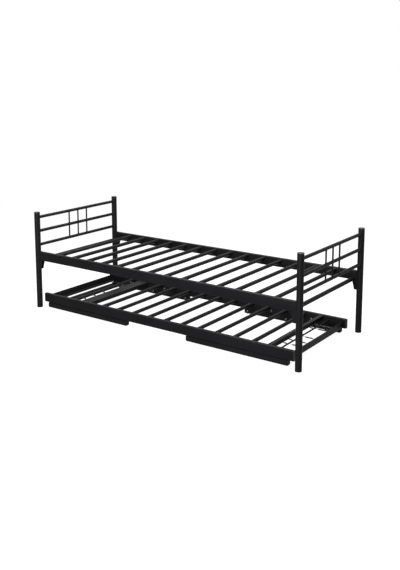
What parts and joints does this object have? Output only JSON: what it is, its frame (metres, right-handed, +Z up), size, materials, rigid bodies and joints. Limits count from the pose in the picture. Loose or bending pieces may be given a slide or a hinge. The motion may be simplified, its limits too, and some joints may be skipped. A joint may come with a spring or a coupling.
{
  "type": "trundle bed",
  "caption": "Low single guest bed in steel tube with slatted base, and a slatted trundle below that rolls out and lifts on folding arms.",
  "frame": {"origin": "on the floor under the middle of the bed's box", "axes": "+X along the bed to the picture's right end, +Y to the back, +Z up"},
  "size_m": [1.978, 0.7938, 0.641],
  "materials": {
    "powder_coat": "satin black powder coat",
    "black_plastic": "moulded black polypropylene",
    "zinc_fasteners": "black zinc plated",
    "spring_wire": "dark drawn spring wire",
    "zinc_forks": "zinc plated pressed steel",
    "wheel_rubber": "dark grey rubber tread"
  },
  "bodies": {
    "bed": {"post_front_left": "powder_coat", "post_front_right": "powder_coat", "post_rear_left": "powder_coat", "post_rear_right": "powder_coat", "post_caps": "black_plastic", "post_feet": "black_plastic", "left_end_top_bar": "powder_coat", "left_end_middle_bar": "powder_coat", "left_end_low_bar": "powder_coat", "left_end_spindles": "powder_coat", "right_end_top_bar": "powder_coat", "right_end_middle_bar": "powder_coat", "right_end_low_bar": "powder_coat", "right_end_spindles": "powder_coat", "left_end_cross_tube": "powder_coat", "right_end_cross_tube": "powder_coat", "front_side_rail": "powder_coat", "rear_side_rail": "powder_coat", "corner_bracket_front_left": "powder_coat", "corner_bracket_front_right": "powder_coat", "corner_bracket_rear_left": "powder_coat", "corner_bracket_rear_right": "powder_coat", "corner_bolts": "zinc_fasteners", "bed_slats": "powder_coat"},
    "left_base": {"left_front_runner": "powder_coat", "left_rear_runner": "powder_coat", "left_cross_tube": "powder_coat", "left_caster_plates": "powder_coat", "left_runner_rivets": "zinc_fasteners"},
    "left_outer_arm_pair": {"left_outer_arms": "powder_coat"},
    "trundle_deck": {"trundle_front_rail": "powder_coat", "trundle_rear_rail": "powder_coat", "trundle_rail_plugs": "black_plastic", "trundle_left_end_angle": "powder_coat", "trundle_right_end_angle": "powder_coat", "trundle_left_cross_angle": "powder_coat", "trundle_right_cross_angle": "powder_coat", "trundle_slats": "powder_coat", "spring_rod": "powder_coat", "left_deck_springs": "spring_wire", "right_inner_springs": "spring_wire", "right_outer_springs": "spring_wire", "deck_pivot_rivets": "zinc_fasteners"},
    "left_inner_arm_pair": {"left_inner_arms": "powder_coat"},
    "right_outer_arm_pair": {"right_outer_arms": "powder_coat"},
    "right_inner_arm_pair": {"right_inner_arms": "powder_coat"},
    "right_base": {"right_front_runner": "powder_coat", "right_rear_runner": "powder_coat", "right_cross_tube": "powder_coat", "right_caster_plates": "powder_coat", "right_runner_rivets": "zinc_fasteners"},
    "caster_fork_front_left": {"caster_fork_front_left": "zinc_forks"},
    "caster_wheel_front_left": {"caster_wheel_front_left": "wheel_rubber"},
    "caster_fork_rear_left": {"caster_fork_rear_left": "zinc_forks"},
    "caster_wheel_rear_left": {"caster_wheel_rear_left": "wheel_rubber"},
    "caster_fork_front_right": {"caster_fork_front_right": "zinc_forks"},
    "caster_wheel_front_right": {"caster_wheel_front_right": "wheel_rubber"},
    "caster_fork_rear_right": {"caster_fork_rear_right": "zinc_forks"},
    "caster_wheel_rear_right": {"caster_wheel_rear_right": "wheel_rubber"}
  },
  "joints": [
    {"name": "trundle_roll_out", "type": "slide", "parent": "bed", "child": "left_base", "axis": [0, -1, 0], "range_m": [0, 0.8]},
    {"name": "left_outer_arm_swing", "type": "hinge", "parent": "left_base", "child": "left_outer_arm_pair", "pos_m": [-0.542, 0, 0.0175], "axis": [0, 1, 0], "range_deg": [0, 60]},
    {"name": "deck_lift", "type": "hinge", "parent": "left_outer_arm_pair", "child": "trundle_deck", "pos_m": [-0.72, 0, 0.0535], "axis": [0, -1, 0], "range_deg": [0, 60]},
    {"name": "left_inner_arm_swing", "type": "hinge", "parent": "trundle_deck", "child": "left_inner_arm_pair", "pos_m": [-0.438, 0, 0.0535], "axis": [0, 1, 0], "range_deg": [0, 60]},
    {"name": "right_outer_arm_swing", "type": "hinge", "parent": "trundle_deck", "child": "right_outer_arm_pair", "pos_m": [0.7, 0, 0.0535], "axis": [0, -1, 0], "range_deg": [0, 60]},
    {"name": "right_inner_arm_swing", "type": "hinge", "parent": "trundle_deck", "child": "right_inner_arm_pair", "pos_m": [0.418, 0, 0.0535], "axis": [0, -1, 0], "range_deg": [0, 60]},
    {"name": "right_base_swing", "type": "hinge", "parent": "right_outer_arm_pair", "child": "right_base", "pos_m": [0.522, 0, 0.0175], "axis": [0, 1, 0], "range_deg": [0, 60]},
    {"name": "caster_swivel_front_left", "type": "hinge", "parent": "left_base", "child": "caster_fork_front_left", "pos_m": [-0.835, -0.3, 0.0325], "axis": [0, 0, 1], "continuous": true},
    {"name": "caster_spin_front_left", "type": "hinge", "parent": "caster_fork_front_left", "child": "caster_wheel_front_left", "pos_m": [-0.835, -0.288, 0.014], "axis": [1, 0, 0], "continuous": true},
    {"name": "caster_swivel_rear_left", "type": "hinge", "parent": "left_base", "child": "caster_fork_rear_left", "pos_m": [-0.835, 0.262, 0.0325], "axis": [0, 0, 1], "continuous": true},
    {"name": "caster_spin_rear_left", "type": "hinge", "parent": "caster_fork_rear_left", "child": "caster_wheel_rear_left", "pos_m": [-0.835, 0.274, 0.014], "axis": [1, 0, 0], "continuous": true},
    {"name": "caster_swivel_front_right", "type": "hinge", "parent": "right_base", "child": "caster_fork_front_right", "pos_m": [0.815, -0.3, 0.0325], "axis": [0, 0, 1], "continuous": true},
    {"name": "caster_spin_front_right", "type": "hinge", "parent": "caster_fork_front_right", "child": "caster_wheel_front_right", "pos_m": [0.815, -0.288, 0.014], "axis": [1, 0, 0], "continuous": true},
    {"name": "caster_swivel_rear_right", "type": "hinge", "parent": "right_base", "child": "caster_fork_rear_right", "pos_m": [0.815, 0.262, 0.0325], "axis": [0, 0, 1], "continuous": true},
    {"name": "caster_spin_rear_right", "type": "hinge", "parent": "caster_fork_rear_right", "child": "caster_wheel_rear_right", "pos_m": [0.815, 0.274, 0.014], "axis": [1, 0, 0], "continuous": true}
  ],
  "couplings": [
    {"joint": "left_outer_arm_swing", "follows": "deck_lift", "ratio": 1},
    {"joint": "left_inner_arm_swing", "follows": "deck_lift", "ratio": 1},
    {"joint": "right_outer_arm_swing", "follows": "deck_lift", "ratio": 1},
    {"joint": "right_inner_arm_swing", "follows": "deck_lift", "ratio": 1},
    {"joint": "right_base_swing", "follows": "deck_lift", "ratio": 1}
  ]
}
